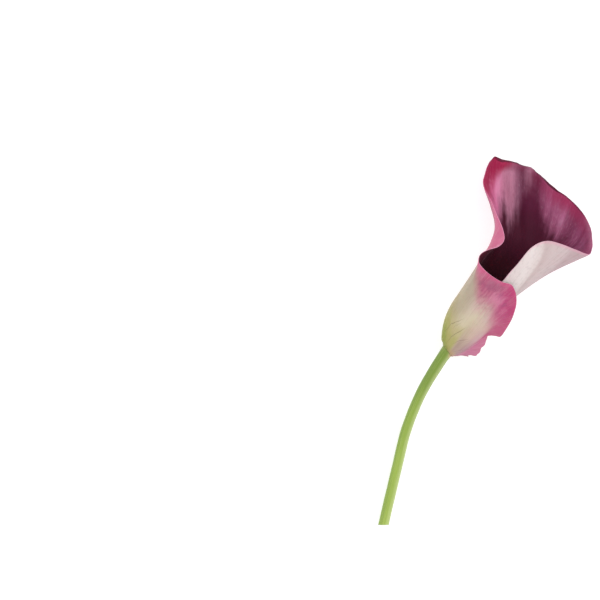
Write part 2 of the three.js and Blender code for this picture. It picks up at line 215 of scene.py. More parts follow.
def open_sheet(station, u):
    """The spathe's outer face before its rim is rolled: rows of u by columns of stations."""
    azimuth, along, end, scale, sharp, rolled, tip = curves(RAYS, station)
    grid_u = u[:, None]
    start = base_edge(azimuth)
    bend = grid_u ** sharp
    here = start + (along - start) * grid_u
    angle = azimuth + (end - azimuth) * bend
    across, height = on_hoop(angle, here, 1 + (scale - 1 + ruffle(azimuth)) * bend)
    return place(here, across, height), rolled, tip, azimuth


def sheet_normals(grid):
    """The outward direction at every point of the sheet."""
    up = np.gradient(grid, axis=0)
    way_round = np.gradient(grid, axis=1)
    n = np.cross(way_round, up)
    return n / (np.linalg.norm(n, axis=-1, keepdims=True) + 1e-12)


def way_up(grid):
    """The way from the base to every point, along its ray."""
    steps = np.linalg.norm(np.diff(grid, axis=0), axis=-1)
    return np.concatenate([np.zeros((1, grid.shape[1])), np.cumsum(steps, axis=0)])


def roll_rim(grid, normals, rolled, tip):
    """Rolls the last few millimetres of each ray outwards."""
    grid = grid.copy()
    ways = way_up(grid)
    for j in np.nonzero(rolled >= ROLL_SHORTEST)[0]:
        points, way = grid[:, j], ways[:, j]
        start = way[-1] - rolled[j]
        first = int(np.argmax(way >= start))
        share = (start - way[first - 1]) / (way[first] - way[first - 1])
        origin = points[first - 1] + (points[first] - points[first - 1]) * share
        ahead = unit(points[first] - points[first - 1])
        out = unit(normals[first, j] - ahead * (normals[first, j] @ ahead))
        length = (way[first:] - start) * (1 + max(0, tip[j]) / rolled[j])
        turn = np.minimum(length / ROLL_RADIUS, ROLL_TURN)
        rest = length - turn * ROLL_RADIUS
        forward = ROLL_RADIUS * np.sin(turn) + rest * np.cos(turn)
        outward = ROLL_RADIUS * (1 - np.cos(turn)) + rest * np.sin(turn)
        grid[first:, j] = origin + forward[:, None] * ahead + outward[:, None] * out
    return grid


def waves(x, y, terms):
    """Smooth bumps between -1 and 1, from waves of a length in x, one in y, and a phase."""
    total = 0
    for length_x, length_y, phase in terms:
        total = total + np.sin(2 * np.pi * (x / length_x + y / length_y) + phase)
    return total / len(terms)


def make_mesh(name, points, faces):
    """A mesh object from points in mm."""
    mesh = bpy.data.meshes.new(name)
    mesh.from_pydata((np.asarray(points) * MM).tolist(), [], faces)
    mesh.validate()
    mesh.polygons.foreach_set("use_smooth", [True] * len(mesh.polygons))
    mesh.update()
    made = bpy.data.objects.new(name, mesh)
    bpy.context.scene.collection.objects.link(made)
    return made


REACH_UNIT = 100  # mm that a mesh stores as 1


def paint(obj, name, *values):
    """Stores three numbers for each point of a mesh, for its material to read."""
    layer = obj.data.attributes.new(name, "FLOAT_VECTOR", "POINT")
    vectors = np.stack(np.broadcast_arrays(*values), -1)
    layer.data.foreach_set("vector", vectors.astype(np.float32).ravel())


# The spathe: rows and columns of its sheet, its thickness in mm at places from base to margin, and the
# turns, in degrees, at which its rounded rim is cut
SHEET_ROWS = 110
SHEET_GRADING = 1.6  # rows lie closer together towards the margin
COLUMNS_PER_STRETCH = 6
THICKNESS = ((0, 0.45), (0.05, 0.6), (0.2, 0.95), (0.8, 0.9), (0.96, 0.75), (1, 0.5))
RIM_TURNS = (45, 0, -45)

HUG_LENGTH = 2.6  # mm of each ray over which the sheet draws in to the stem
HUG_GAP = 0.5  # how far its outer face stays off the stem there
HUG_WINDING = 0.68  # from one layer to the next, over a full turn

# The limb's veins run up from the throat, nearly side by side. Each is known by its x in mm at VEIN_START,
# and leans by so many mm a mm. Outside the azimuths of VEIN_REACH they follow the sheet's own rays.
VEIN_START = 66.9
VEIN_LEAN = np.array([(0, -0.05), (8, 0), (14, 0), (22, 0.01), (27, 0.05), (31.7, 0.13), (38.7, 0.26),
                      (46.2, 0.38), (55, 0.48), (61, 0.53)])
VEIN_REACH = (-42, -12, 34, 64)
VEIN_PITCH = 0.6  # mm a degree outside them
VEIN_ROUNDS = 14
VEIN_ROW = 0.8  # how far up the rays the azimuths are matched with the veins

# Soft pleats of the limb: vein, width, how far they stand out of the inner face
PLEATS = ((-12, 6, 0.5), (3, 4, -0.35), (14, 4.5, 0.6), (20.5, 1.8, -0.4), (24.4, 1.6, 0.25),
          (28.2, 2.2, -0.4), (36, 3.5, 0.35), (42, 2, -0.2), (49, 3.5, 0.3), (57, 4, -0.3), (68, 5, 0.3),
          (80, 6, -0.3))

# Where the limb's relief starts and where it is full: up the rays, on its right side and on its left
LIMB_UP = (0.5, 0.85)
LIMB_RIGHT = (-115, -95)
LIMB_LEFT = (88, 73)
LIMB_OPEN = (20, 45)  # mm along, for the swells

# The relief itself, in mm, and its waves: length in degrees, length in mm, phase
FLUTTER = {"height": 0.16, "margin": 13, "waves": ((17, 90, 0.3), (11.3, 70, 2.1), (7.1, 300, 4.0))}
SWELLS = {"height": 0.22, "waves": ((41, 37, 0.5), (29, -23, 1.9), (67, 19, 3.3))}

# Fine ridges along the rays: height, degrees apart, how much they sway, mm of margin to a radian of slant
RIDGES = ((0.035, 4.1, 1.2, 22), (0.02, 1.9, 0, 13))
RIDGE_SWAY = 9.7  # degrees to a radian of their sway
SMOOTH_FOOT = 0.12  # share of each ray over which ridges and swells grow from nothing
SMOOTH_RIM = 1.5  # mm from the edge over which they fade

# The stem: along, across and height of its centre line, and its radius
STEM = np.array([
    (-106.3, 21.8, 3, 3), (-95.5, 18, 3, 3), (-73.9, 10.7, 3.5, 3), (-52.2, 3.6, 5.3, 3.05),
    (-29, -0.4, 8.4, 3.15), (-11.7, -1, 11, 3.35), (-2.4, -0.7, 12.05, 3.45), (2.4, -0.2, 12.5, 3.5),
])


def stem_at(along):
    """Centre line and radius of the stem."""
    across, height, radius = curves(STEM, along)
    return place(along, across, height), radius


def along_of(points):
    """How far along the bloom's axis points lie."""
    s, c = math.sin(BLOOM_LEAN), math.cos(BLOOM_LEAN)
    return (points[..., 0] - BLOOM_BASE[0]) * s + (points[..., 1] - BLOOM_BASE[1]) * c


def hug_stem(grid, azimuth):
    """Draws the sheet's first few millimetres in to the stem."""
    pull = rise(way_up(grid), HUG_LENGTH, 0)
    centre, radius = stem_at(along_of(grid))
    from_centre = grid - centre
    reach = np.linalg.norm(from_centre, axis=-1)
    wanted = radius + HUG_GAP + HUG_WINDING * (azimuth - MIDRIB) / 360
    scale = 1 + (np.minimum(wanted, reach) / reach - 1) * pull
    return centre + from_centre * scale[..., None]


def veins_of(grid, azimuth, u):
    """Which vein of the limb each point of the sheet lies on."""
    x, y = grid[..., 0], grid[..., 1]
    vein = x
    for _ in range(VEIN_ROUNDS):
        vein = 0.5 * vein + 0.5 * (x - curve(VEIN_LEAN, 1, vein) * (y - VEIN_START))
    low, low_full, high_full, high = VEIN_REACH
    row = int(np.argmin(np.abs(u - VEIN_ROW)))
    columns = np.argsort(azimuth)
    at_low, at_high = np.interp((low, high), azimuth[columns], vein[row, columns])
    by_ray = np.interp(azimuth, azimuth[columns], vein[row, columns])
    by_ray = np.where(azimuth < low, at_low + VEIN_PITCH * (low - azimuth), by_ray)
    by_ray = np.where(azimuth > high, at_high - VEIN_PITCH * (azimuth - high), by_ray)
    share = rise(azimuth, low, low_full) * rise(azimuth, high, high_full)
    return by_ray * (1 - share) + vein * share


def relief(azimuth, u, margin, along, vein):
    """How far the sheet's face stands out of its smooth form, in mm, outwards."""
    limb = rise(u, *LIMB_UP) * rise(azimuth, *LIMB_RIGHT) * rise(azimuth, *LIMB_LEFT)
    pleats = sum(-out * np.exp(-((vein - at) / width) ** 2) for at, width, out in PLEATS)
    flutter = FLUTTER["height"] * waves(azimuth, margin, FLUTTER["waves"])
    flutter = flutter * rise(margin, FLUTTER["margin"], 0)
    swells = SWELLS["height"] * waves(azimuth, along, SWELLS["waves"]) * rise(along, *LIMB_OPEN)
    ridges = 0
    for height, pitch, sway, slant in RIDGES:
        phase = sway * np.sin(azimuth / RIDGE_SWAY) + margin / slant
        ridges = ridges + height * np.cos(2 * np.pi * azimuth / pitch + phase)
    quiet = rise(u, 0, SMOOTH_FOOT) * rise(margin, 0, SMOOTH_RIM)
    return (pleats + flutter) * limb + (ridges + swells * limb) * quiet


def closed_faces(rows, columns):
    """Faces of a closed sheet whose columns each go round it, and of its two ends."""
    here = np.arange(rows * columns).reshape(rows, columns)
    ahead = np.roll(here, -1, 0)
    quads = np.stack([here[:, :-1], here[:, 1:], ahead[:, 1:], ahead[:, :-1]], -1)
    faces = quads.reshape(-1, 4).tolist()
    for end, flip in ((here[:, 0].tolist(), False), (here[:, -1].tolist(), True)):
        for i in range((rows - 1) // 2):
            face = end[i:i + 2] + end[rows - 2 - i:rows - i]
            if i + 1 == rows - 2 - i:
                del face[2]
            faces.append(face[::-1] if flip else face)
    return faces


def over_rim(values, count):
    """Values up one face, along the rim's rows and down the other face."""
    return np.concatenate([values, np.repeat(values[-1:], count, 0), values[::-1]])


def build_spathe():
    u = 1 - (1 - np.linspace(0, 1, SHEET_ROWS + 1)) ** SHEET_GRADING
    station = np.linspace(0, len(RAYS) - 1, (len(RAYS) - 1) * COLUMNS_PER_STRETCH + 1)
    grid, rolled, tip, azimuth = open_sheet(station, u)
    grid = roll_rim(grid, sheet_normals(grid), rolled, tip)
    grid = hug_stem(grid, azimuth)
    way = way_up(grid)
    margin = way[-1] - way
    vein = veins_of(grid, azimuth, u)
    out = relief(azimuth, u[:, None], margin, along_of(grid), vein)
    outer = grid + sheet_normals(grid) * out[..., None]
    normal = sheet_normals(outer)
    thick = np.interp(u, *np.transpose(THICKNESS))
    inner = outer - normal * thick[:, None, None]

    ahead = unit(outer[-1] - outer[-2])
    middle = (outer[-1] + inner[-1]) / 2
    half = thick[-1] / 2
    rim = []
    for turn in map(math.radians, RIM_TURNS):
        rim.append(middle + half * (math.sin(turn) * normal[-1] + math.cos(turn) * ahead))

    # Each column of the closed sheet goes up its outer face, over the rim and down its inner face
    loop = np.concatenate([outer, np.array(rim), inner[::-1]])
    loop[..., 2] = np.maximum(loop[..., 2], 0)
    rows, columns = loop.shape[:2]
    spathe = make_mesh("spathe_petal", loop.reshape(-1, 3), closed_faces(rows, columns))

    # What the material reads at each point: see read_sheet
    side = np.concatenate([np.zeros(len(u)), np.linspace(0, 1, len(rim) + 2)[1:-1], np.ones(len(u))])
    u, margin, vein = [over_rim(values, len(rim)) for values in (u, margin, vein)]
    paint(spathe, "sheet", azimuth / 360, u[:, None], side[:, None])
    paint(spathe, "reach", *np.array([along_of(loop), margin, vein]) / REACH_UNIT)
    return spathe


# The stem's mesh, its ribs and bumps, the collar under the bloom, and its cut end: mm
STEM_SIDES = 72
STEM_STEPS = 220
RIBS = {"count": 23, "height": 0.045, "sway": 0.8, "sway_length": 31, "twist": 0.5, "twist_length": 47}
BUMPS = {"height": 0.05, "waves": ((23, 360, 0.4), (13, -180, 1.7), (37, 120, 3.1))}
COLLAR = {"along": -0.2, "width": 3.4, "out": 0.3}
CUT_RINGS = 9
CUT_HOLLOW = {"depth": 0.35, "edge": 0.5, "uneven": 0.15, "lobes": 5}
CUT_ROUNDING = 0.45  # how far the ring behind the cut is drawn up to it


def ring_directions(ahead):
    """Right and up, square to the way ahead."""
    right = unit(np.cross(ahead, (0, 0, 1)))
    return right, np.cross(right, ahead)


def stem_rings(steps, angle):
    """Rings of points along the stem, the first one cut level across the photo's lower edge."""
    centre, radius = stem_at(steps)
    ahead = unit(stem_at(steps + 0.5)[0] - stem_at(steps - 0.5)[0])
    right, up = ring_directions(ahead)
    swell = COLLAR["out"] * np.exp(-((steps - COLLAR["along"]) / COLLAR["width"]) ** 2)
    turn = angle[None, :]
    far = steps[:, None]
    sway = RIBS["sway"] * np.sin(far / RIBS["sway_length"])
    twist = RIBS["twist"] * np.sin(2 * turn + far / RIBS["twist_length"])
    ribs = RIBS["height"] * (np.cos(RIBS["count"] * turn + sway + twist) - 1)
    bumps = BUMPS["height"] * waves(far, np.degrees(turn), BUMPS["waves"])
    reach = radius[:, None] + swell[:, None] + ribs + bumps
    spokes = np.cos(turn)[..., None] * right[:, None] + np.sin(turn)[..., None] * up[:, None]
    rings = centre[:, None] + reach[..., None] * spokes
    to_cut = (centre[0, 1] - rings[0, :, 1]) / ahead[0, 1]
    rings[0] = rings[0] + to_cut[:, None] * ahead[0]
    rings[1] = rings[1] + CUT_ROUNDING * (rings[0] - rings[1])
    return rings, centre[0], ahead[0]


def cut_face(edge, centre, ahead, angle):
    """Rings from the cut's middle to its edge, slightly hollow."""
    rings = []
    for k in range(CUT_RINGS - 1, 0, -1):
        share = k / CUT_RINGS
        uneven = 1 + CUT_HOLLOW["uneven"] * np.sin(CUT_HOLLOW["lobes"] * angle + k)
        hollow = CUT_HOLLOW["depth"] * smoothstep(share / CUT_HOLLOW["edge"]) * uneven
        rings.append(edge * (1 - share) + centre * share + ahead * hollow[:, None])
    return np.array(rings)


def bands(first, rings, sides):
    """Faces between rings of points, of which the first has number first."""
    faces = []
    for k in range(rings - 1):
        for i in range(sides):
            a = first + k * sides + i
            b = first + k * sides + (i + 1) % sides
            faces.append((a, b, b + sides, a + sides))
    return faces


def ring_face(first, sides):
    return tuple(range(first, first + sides))


def build_stem():
    steps = np.linspace(STEM[0, 0], STEM[-1, 0], STEM_STEPS + 1)
    angle = 2 * np.pi * (np.arange(STEM_SIDES) + 0.5) / STEM_SIDES - np.pi / 2
    rings, centre, ahead = stem_rings(steps, angle)
    cut_rings = cut_face(rings[0], centre, ahead, angle)
    points = np.concatenate([cut_rings, rings]).reshape(-1, 3)
    points[:, 2] = np.maximum(points[:, 2], 0)
    inner, layers = len(cut_rings), len(cut_rings) + len(rings)
    faces = [face[:1] + face[:0:-1] for face in bands(0, layers, STEM_SIDES)]
    faces.append(ring_face(0, STEM_SIDES))
    faces.append(ring_face(STEM_SIDES * (layers - 1), STEM_SIDES)[::-1])
    stem = make_mesh("stem_stalk", points, faces)

    # What the material reads at each point: along and the two halves of the turn round the stem, then
    # whether it is on the cut and how far from the cut's middle
    far = np.concatenate([np.full(inner, steps[0]), steps])
    on_cut = np.arange(layers) <= inner
    spread = np.concatenate([(np.arange(inner) + 1) / CUT_RINGS, np.ones(len(rings))])
    paint(stem, "stalk", far[:, None] / REACH_UNIT, np.cos(angle), np.sin(angle))
    paint(stem, "cut", on_cut[:, None], spread[:, None], 0 * angle)
    return stem


# The spadix: along and radius of its rod, and its two zones of florets, in mm
SPADIX = np.array([(2, 3.1), (2.9, 3), (5, 3.1), (10, 3.15), (15, 2.85), (18, 2.45), (32, 2.5),
                   (39, 2.0), (42, 1.2), (43.2, 0.35)])
SPADIX_SIDES = 32
SPADIX_RINGS = 60
GOLDEN_TURN = math.radians(137.50776)
OVARIES = {"from": 4.2, "to": 16.2, "count": 74, "radius": 1.05, "out": 0.62, "lobes": 0, "dent": 0}
ANTHERS = {"from": 17.2, "to": 43.0, "count": 430, "radius": 0.62, "out": 0.55, "lobes": 0.12, "dent": 0.16}
FLORET_SIDES = 8
FLORET_RINGS = ((1, 0), (0.97, 0.45), (0.72, 0.8), (0.34, 0.97))  # shares of its width and its height
FLORET_SUNK = 0.25  # mm of each floret inside the rod
FLORET_PLACES = 400  # steps by which the rod's girth is added up
FLORET_SHADES = 0.377  # from one floret to the next, for its shade

# How a floret's width and height vary: by how much, radians from one to the next, their share on a rod of
# no girth, and mm of the rod's radius that add a share of 1
FLORET_WIDTHS = (0.1, 2.3, 0.45, 3.5)
FLORET_HEIGHTS = (0.15, 1.7, 0.35, 3)


def spadix_centre(along):
    return place(along, curve(HOOPS, 5, along), AXIS_HEIGHT + AXIS_RISE * along)


def floret_places(zone):
    """How far along each floret of a zone stands: as many on each part of the rod as its girth takes."""
    fine = np.linspace(zone["from"], zone["to"], FLORET_PLACES)
    girth = np.cumsum(curve(SPADIX, 1, fine))
    shares = (np.arange(zone["count"]) + 0.5) / zone["count"]
    return np.interp(shares * girth[-1], girth, fine)


def varied(n, rod, amount, turn, least, more):
    return (1 - amount + amount * math.sin(n * turn)) * min(1, least + rod / more)


def floret(zone, n, far, ahead, right, up):
    """The points of a zone's floret number n: its rings, then its top."""
    turn = n * GOLDEN_TURN
    out = math.cos(turn) * right + math.sin(turn) * up
    aside = -math.sin(turn) * right + math.cos(turn) * up
    rod = float(curve(SPADIX, 1, far))
    size = zone["radius"] * varied(n, rod, *FLORET_WIDTHS)
    height = FLORET_SUNK + zone["out"] * varied(n, rod, *FLORET_HEIGHTS)
    base = spadix_centre(np.array(far)) + out * (rod - FLORET_SUNK)
    points = []
    for wide, tall in FLORET_RINGS:
        for i in range(FLORET_SIDES):
            t = 2 * math.pi * i / FLORET_SIDES
            reach = size * wide * (1 + zone["lobes"] * math.cos(2 * t + n))
            spoke = math.cos(t) * aside + math.sin(t) * ahead
            points.append(base + reach * spoke + out * height * tall)
    points.append(base + out * height * (1 - zone["dent"]))
    return points


def floret_faces(first):
    """The faces of a floret whose points start at number first."""
    faces = bands(first, len(FLORET_RINGS), FLORET_SIDES)
    top = first + len(FLORET_RINGS) * FLORET_SIDES
    last = top - FLORET_SIDES
    faces += [(last + i, last + (i + 1) % FLORET_SIDES, top) for i in range(FLORET_SIDES)]
    faces.append(ring_face(first, FLORET_SIDES)[::-1])
    return faces


def build_spadix():
    low, high = SPADIX[0, 0], SPADIX[-1, 0]
    ends = spadix_centre(np.array([low, high]))
    ahead = unit(ends[1] - ends[0])
    right, up = ring_directions(ahead)
    steps = np.linspace(low, high, SPADIX_RINGS + 1)
    radius = curve(SPADIX, 1, steps)
    angle = 2 * np.pi * np.arange(SPADIX_SIDES) / SPADIX_SIDES
    spokes = np.cos(angle)[:, None] * right + np.sin(angle)[:, None] * up
    points = [(spadix_centre(steps)[:, None] + radius[:, None, None] * spokes).reshape(-1, 3)]
    faces = bands(0, SPADIX_RINGS + 1, SPADIX_SIDES)
    faces.append(ring_face(0, SPADIX_SIDES)[::-1])
    faces.append(ring_face(SPADIX_SIDES * SPADIX_RINGS, SPADIX_SIDES))

    # What the material reads at each point: how far up the spadix, how far up the floret, and its number
    share = np.repeat((steps - low) / (high - low), SPADIX_SIDES)
    tint = [np.stack([share, 0 * share, 0 * share], -1)]
    crown = np.array([tall for _, tall in FLORET_RINGS for _ in range(FLORET_SIDES)] + [1.0])
    total = len(points[0])
    for zone in (OVARIES, ANTHERS):
        for n, far in enumerate(floret_places(zone)):
            points.append(np.array(floret(zone, n, far, ahead, right, up)))
            faces += floret_faces(total)
            ones = np.ones(len(crown))
            up_rod = (far - low) / (high - low)
            tint.append(np.stack([ones * up_rod, crown, ones * n * FLORET_SHADES], -1))
            total += len(crown)
    spadix = make_mesh("spadix_florets", np.concatenate(points), faces)
    paint(spadix, "floret", *np.concatenate(tint).T)
    return spadix


# Materials
def linear(code):
    """A hex colour as Blender's linear red, green, blue and alpha."""
    values = [int(code[i:i + 2], 16) / 255 for i in (1, 3, 5)]
    return [v / 12.92 if v <= 0.04045 else ((v + 0.055) / 1.055) ** 2.4 for v in values] + [1]


class Finish:
    """One material, and short ways to make its nodes."""

    def __init__(self, name, **constants):
        self.material = bpy.data.materials.new(name)
        self.material.use_nodes = True
        self.tree = self.material.node_tree
        self.shader = self.tree.nodes["Principled BSDF"]
        for socket, value in constants.items():
            self.shader.inputs[socket.replace("_", " ")].default_value = value

    def set(self, socket, value):
        """Puts a number, a colour or another node's output into a socket."""
        if isinstance(value, bpy.types.NodeSocket):
            self.tree.links.new(value, socket)
        elif isinstance(value, str):
            socket.default_value = linear(value)
        else:
            socket.default_value = value

    def node(self, kind, settings=None, **inputs):
        made = self.tree.nodes.new("ShaderNode" + kind)
        for key, value in (settings or {}).items():
            setattr(made, key, value)
        for key, value in inputs.items():
            self.set(made.inputs[key], value)
        return made

    def fill(self, made, *values):
        """Puts values into a node's first sockets, and gives its first output."""
        for socket, value in zip(made.inputs, values):
            self.set(socket, value)
        return made.outputs[0]

    def math(self, operation, *values):
        return self.fill(self.node("Math", {"operation": operation}), *values)

    def add(self, a, b):
        return self.math("ADD", a, b)

    def times(self, first, *others):
        for value in others:
            first = self.math("MULTIPLY", first, value)
        return first

    def stray(self, value, noise, amount):
        """A value that wanders with a noise, by half the amount to either side at most."""
        return self.add(value, self.times(self.add(noise, -0.5), amount))

    def total(self, weights, start=0.0):
        """A sum of named values, each by its weight."""
        for name, weight in weights.items():
            start = self.add(start, self.times(vars(self)[name], weight))
        return start

    def span(self, value, low, high, to_low=0.0, to_high=1.0):
        """Smooth step of a value from one range to another."""
        made = self.node("MapRange", {"interpolation_type": "SMOOTHSTEP"})
        return self.fill(made, value, low, high, to_low, to_high)

    def inside(self, value, low, high, soft):
        """1 between two limits, fading to 0 over a soft edge on either side."""
        rises = self.span(value, low - soft, low + soft)
        return self.times(rises, self.span(value, high - soft, high + soft, 1, 0))

    def mask(self, value, limits):
        """Where a tint shows. No limits: as much as the value says. Two: where it starts and where it is
        full, in either order. Three: two limits and a soft edge. Four: two places, and how much at each."""
        if limits is None:
            return value
        if len(limits) == 3:
            return self.inside(value, *limits)
        return self.span(value, *limits)

    def ramp(self, value, stops):
        """Colours over a value. Each stop is a place and a colour or a number."""
        low, high = stops[0][0], stops[-1][0]
        share = self.fill(self.node("MapRange"), value, low, high, 0.0, 1.0)
        made = self.node("ValToRGB")
        made.color_ramp.interpolation = "EASE"
        elements = made.color_ramp.elements
        while len(elements) < len(stops):
            elements.new(1)
        for element, (at, colour) in zip(elements, stops):
            element.position = (at - low) / (high - low)
            element.color = linear(colour) if isinstance(colour, str) else (colour, colour, colour, 1)
        return self.fill(made, share)

    def mix(self, share, a, b):
        made = self.node("Mix", {"data_type": "RGBA"})
        self.set(made.inputs[0], share)
        self.set(made.inputs[6], a)
        self.set(made.inputs[7], b)
        return made.outputs[2]

    def tinted(self, colour, tints):
        """Lays tints over a colour, one after another."""
        for over, strength, where in tints:
            if not isinstance(over, str):
                name, stops = over
                over = self.ramp(vars(self)[name], stops)
            masks = [self.mask(vars(self)[name], limits) for name, limits in where.items()]
            colour = self.mix(self.times(*masks, strength), colour, over)
        return colour

    def parts(self, name):
        """The three numbers that a mesh stores under a name."""
        made = self.node("Attribute", {"attribute_name": name})
        return self.node("SeparateXYZ", Vector=made.outputs["Vector"]).outputs

    def noise(self, x, y, z, detail):
        point = self.node("CombineXYZ", X=x, Y=y, Z=z).outputs[0]
        return self.node("TexNoise", Vector=point, Scale=1.0, Detail=detail).outputs["Fac"]

    def done(self, colour, roughness, rough, height, strength, raised):
        """The material, with its colour, and with named values that roughen and raise it."""
        bump = self.node("Bump", Height=self.total(raised), Distance=height, Strength=strength)
        self.set(self.shader.inputs["Base Color"], colour)
        self.set(self.shader.inputs["Roughness"], self.total(rough, roughness))
        self.set(self.shader.inputs["Normal"], bump.outputs[0])
        return self.material


# A row of a table of tints has a colour or a ramp of colours over a value, its strength, and where it is:
# limits, as in Finish.mask, for values that the finish keeps. A texture has a roughness and what adds to it,
# and a bump's height in metres, its strength and what it follows.

# The spathe's grains: the value they cross, lumps to one of it, lumps to a mm along, layer and detail
GRAINS = {
    "broad": ("azimuth", 0.16, 0.012, 3, 2),
    "fine": ("azimuth", 0.55, 0.018, 7, 3),
    "hair": ("azimuth", 2.1, 0.05, 1, 2),
    "cloud": ("azimuth", 0.05, 0.09, 5, 3),
    "mottle": ("azimuth", 0.22, 0.35, 9, 4),
    "patch": ("azimuth", 0.13, 0.2, 2, 5),
    "grain": ("vein", 0.3, 0.022, 7, 3),
    "thin": ("vein", 1.3, 0.06, 1, 2),
    "blotch": ("vein", 0.3, 0.16, 4, 4),
    "cells": ("vein", 1.5, 0.45, 6, 3),
}

# Values that wander: the value, the grain that moves it, and by how many mm
STRAYS = {
    "here": ("along", "cloud", 10),
    "ragged_along": ("along", "mottle", 9),
    "red_margin": ("margin", "grain", 8),
    "lip_margin": ("margin", "mottle", 5),
    "hot_margin": ("margin", "patch", 4),
    "lee_margin": ("margin", "patch", 6),
    "rose_margin": ("margin", "mottle", 6),
    "glow_margin": ("margin", "patch", 8),
}

# How far in from the margin some tints of the edge reach: mm over azimuth
REACHES = {
    "lobe_share": ("margin", [(28, 5), (36, 8), (41, 13), (46, 23), (60, 30), (72, 21), (84, 8)]),
    "fold_share": ("margin", [
        (-14, 0.5), (-4.6, 0.9), (0, 1.3), (7, 2), (15.6, 3), (23, 2.8), (35, 2.8), (40, 2.2), (44, 1.6),
        (48, 0.9),
    ]),
    "pink_share": ("rose_margin", [
        (118, 4), (150, 7), (205, 14), (222, 21), (246, 18), (262, 10), (300, 7),
    ]),
}

# Inner face: near-black throat up to a wine limb, over mm along, and mauve streaks on the limb's veins,
# partly the limb's own striping and partly painted sheen: their strength, the mm along at which they begin,
# and their colour
THROAT = [
    (44, "#331319"), (58, "#431723"), (70, "#481428"), (84, "#430e24"), (98, "#501430"),
    (112, "#5c1936"),
]
STREAK_AND_SHEEN_STRENGTHS = [
    (-4, 0.9), (5, 0.95), (9, 1), (16, 1), (19, 0.68), (21.8, 0.38), (23.6, 0.62), (25.3, 0.95),
    (27, 0.5), (28.6, 0.14), (31, 0.6), (34.6, 1), (38.7, 0.85), (43, 1), (46, 0.72), (50, 0.6),
    (54, 0.85), (58, 0.65), (62, 0.8), (72, 0.55), (82, 0.7),
]
STREAKS_BEGIN = [
    (-4, 78), (5, 80), (8, 85.5), (10.8, 90), (13.5, 82), (15.5, 82), (18, 88), (24, 104), (27.5, 109),
    (29.5, 103), (31.7, 96), (35.2, 94), (38.7, 91.5), (42, 90.5), (46, 88), (58, 86), (82, 80),
]
# Colours of the streaks and their painted sheen; the palest, about vein 8, are painted light that makes up
# for the shade of the wall beside them
STREAK_AND_SHEEN_COLOURS = [
    (-4, "#cb6c94"), (4, "#d2769f"), (8, "#dc90b3"), (12, "#cc8da9"), (16, "#bc809a"),
    (20.8, "#93617a"), (25, "#a0677f"), (31, "#8d4768"), (38.7, "#9f5679"), (43, "#a65f82"),
    (48, "#8a4365"), (56, "#8d466a"), (63, "#a0587d"), (82, "#9a5375"),
]
STREAK_WANDER = 15  # mm by which each of two grains moves their beginnings
STREAK_GROWTH = (-9, 10)  # mm past the beginning
STREAK_BREAKS = (0.25, 0.65, 0.75, 1.05)  # of the grain, and their strength there
DIM_VEINS = (11, 21, 2.5)  # veins whose streaks are dimmer at first
DIM_FADE = (-4, 28, 0.3, 0)
CRIMSON = [(-100, 0.2), (-62, 0.3), (-45, 0.55), (-25, 0.95), (-10, 0.85), (-1, 0.4), (12, 0)]

# Crimson rim on the right, pink left side with a painted glow of light through the sheet, crimson lobe on
# the left, painted shade under the rolled top edge, a pale rim, a thin dark line of painted shade along the
# top edge, the fine marks of the veins with lighter and darker flecks in the painted sheen of the streaks,
# and painted shade in the fold along the tip's edge
INNER_TINTS = [
    ("#92244d", 0.88, {"red_margin": (12, 2), "crimson": None}),
    # The sheet's own pink on the left side, lighter with a painted glow of light through it
    ("#c96c94", 0.9, {"azimuth": (39, 55), "here": (76, 89)}),
    ("#9a0f40", 0.95, {"lobe_share": (1.25, 0.3), "along": (81, 92), "azimuth": (24, 36)}),
    # Painted shade: darker wine just under the rolled top edge, where the sheet turns away
    ("#6a1638", 0.5, {"azimuth": (2, 34, 5), "margin": (9, 4.5), "along": (98, 104)}),
    ("#b2728f", 0.5, {"margin": (5, 0.5), "azimuth": (-84, -50, 8)}),
    # Painted shade: a thin dark line along the top edge
    ("#4a1229", 0.7, {"margin": (0.9, 0.25), "azimuth": (-45, 50, 6)}),
    ("#38101f", 0.3, {"grain": (0.55, 0.72), "thin": (0.35, 0.6, 0.4, 1)}),
    ("#c08aa2", 0.22, {"thin": (0.5, 0.8), "lit": None, "margin": (3, 15, 0.3, 1)}),
    ("#cf9fb3", 0.16, {"cells": (0.5, 0.75), "lit": None, "margin": (3, 15, 0.3, 1)}),
    ("#6b2a45", 0.2, {"cells": (0.46, 0.28), "lit": None}),
    # Painted shade in the fold along the tip's edge
    ("#3c0f22", 0.8, {"fold_share": (1.2, 0.9), "azimuth": (-12, 47, 4)}),
]

# Outer face: olive at the foot, farther up on the left, then cream, then pink
OUTER = [
    (-8, "#8f9749"), (4, "#a7a264"), (11, "#b6ab80"), (19, "#c6baa0"), (30, "#c0b0a1"), (44, "#c0a49c"),
    (58, "#c59aa3"), (80, "#c18fa1"), (112, "#b67d95"),
]
OLIVE_LEFT = (60, 138, 26)
OLIVE_MORE = 15
OUTER_FOOT = [
    (176, "#b5a884"), (194, "#b8a591"), (212, "#c4ae9d"), (232, "#bb979b"), (250, "#bf8198"),
    (268, "#be7e97"),
]
# Painted shade on the left of the tube, by azimuth, where it turns from the light
OUTER_PAINTED_SHADE = [(54, 0), (78, 0.45), (108, 0.4), (134, 0.6), (148, 0.52), (172, 0)]
FLAP = (132, 158)  # azimuths between which the flap begins, where its slant starts
FLAP_SLANT = (40, 2.1)  # mm along, and degrees a mm from there
FRILL = [(256, "#cf829e"), (270, "#c2849c"), (292, "#aa808a")]
WING = {"azimuth": (-70, -92), "along": (30, 46)}
WING_SLANT = (75, 0.7)
